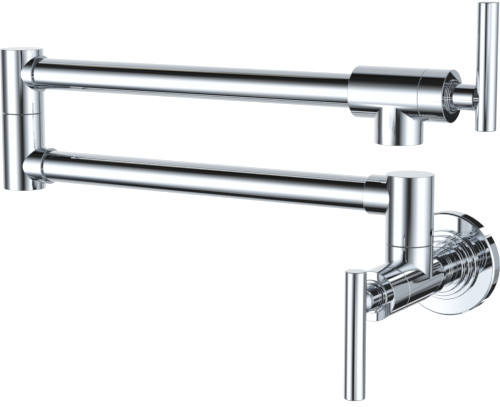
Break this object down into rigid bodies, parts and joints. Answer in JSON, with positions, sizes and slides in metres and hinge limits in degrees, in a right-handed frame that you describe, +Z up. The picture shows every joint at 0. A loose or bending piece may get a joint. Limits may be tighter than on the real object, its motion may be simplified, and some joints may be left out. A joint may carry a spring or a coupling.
{
  "type": "wall mounted pot filler",
  "caption": "Wall mounted pot filler with folding swivel arms, a round flange, a shut-off valve at the wall and one at the spout, and lever bar handles.",
  "frame": {"origin": "centre of the flange's back face, on the wall", "axes": "+Y into the wall along the inlet, +X to the right as seen from the room, +Z up along the swivel axes"},
  "size_m": [0.3384, 0.1571, 0.2133],
  "materials": {
    "chrome": "polished chrome plate on brass",
    "brass": "turned",
    "steel": "plain stainless steel",
    "rubber": "black nitrile rubber",
    "ceramic": "lapped alumina",
    "plastic": "natural acetal"
  },
  "bodies": {
    "root": {"wall_flange": "chrome", "flange_gasket": "rubber", "lock_collar": "chrome", "collar_o_ring": "rubber", "inlet_nipple": "brass", "valve_body": "chrome", "wall_bonnet": "chrome", "wall_cartridge_body": "brass", "wall_seat_seal": "rubber", "wall_fixed_disc": "ceramic", "wall_cartridge_o_ring": "rubber", "base_post": "brass", "base_post_o_rings": "rubber", "base_glide_ring": "plastic"},
    "wall_handle": {"wall_moving_disc": "ceramic", "wall_spindle": "brass", "wall_spindle_o_rings": "rubber", "wall_spindle_clip": "steel", "wall_handle_hub": "chrome", "wall_handle_bar": "chrome", "wall_handle_stud": "steel", "wall_handle_screw": "steel"},
    "lower_arm": {"base_column": "chrome", "base_set_screw": "steel", "lower_arm_tube": "chrome", "lower_arm_o_rings": "rubber", "elbow_lower_column": "chrome", "elbow_post": "brass", "elbow_post_o_rings": "rubber", "elbow_glide_ring": "plastic"},
    "upper_arm": {"elbow_upper_column": "chrome", "elbow_set_screw": "steel", "upper_arm_tube": "chrome", "upper_arm_o_rings": "rubber", "spout_body": "chrome", "spout_bonnet": "chrome", "spout_cartridge_body": "brass", "spout_seat_seal": "rubber", "spout_fixed_disc": "ceramic", "spout_cartridge_o_ring": "rubber", "aerator_shell": "chrome", "aerator_core": "plastic", "aerator_screen": "steel", "aerator_washer": "rubber"},
    "spout_handle": {"spout_moving_disc": "ceramic", "spout_spindle": "brass", "spout_spindle_o_rings": "rubber", "spout_spindle_clip": "steel", "spout_handle_hub": "chrome", "spout_handle_bar": "chrome", "spout_handle_stud": "steel", "spout_handle_screw": "steel"}
  },
  "joints": [
    {"name": "wall_valve_turn", "type": "hinge", "parent": "root", "child": "wall_handle", "pos_m": [0, -0.1111, 0], "axis": [0, -1, 0], "range_deg": [0, 90]},
    {"name": "base_swivel", "type": "hinge", "parent": "root", "child": "lower_arm", "pos_m": [0, -0.0621, 0.0218], "axis": [0, 0, 1], "range_deg": [0, 180]},
    {"name": "elbow_swivel", "type": "hinge", "parent": "lower_arm", "child": "upper_arm", "pos_m": [-0.2735, -0.0621, 0.0817], "axis": [0, 0, 1], "range_deg": [-180, 180]},
    {"name": "spout_valve_turn", "type": "hinge", "parent": "upper_arm", "child": "spout_handle", "pos_m": [0.025, -0.0621, 0.1073], "axis": [1, 0, 0], "range_deg": [0, 90]}
  ]
}
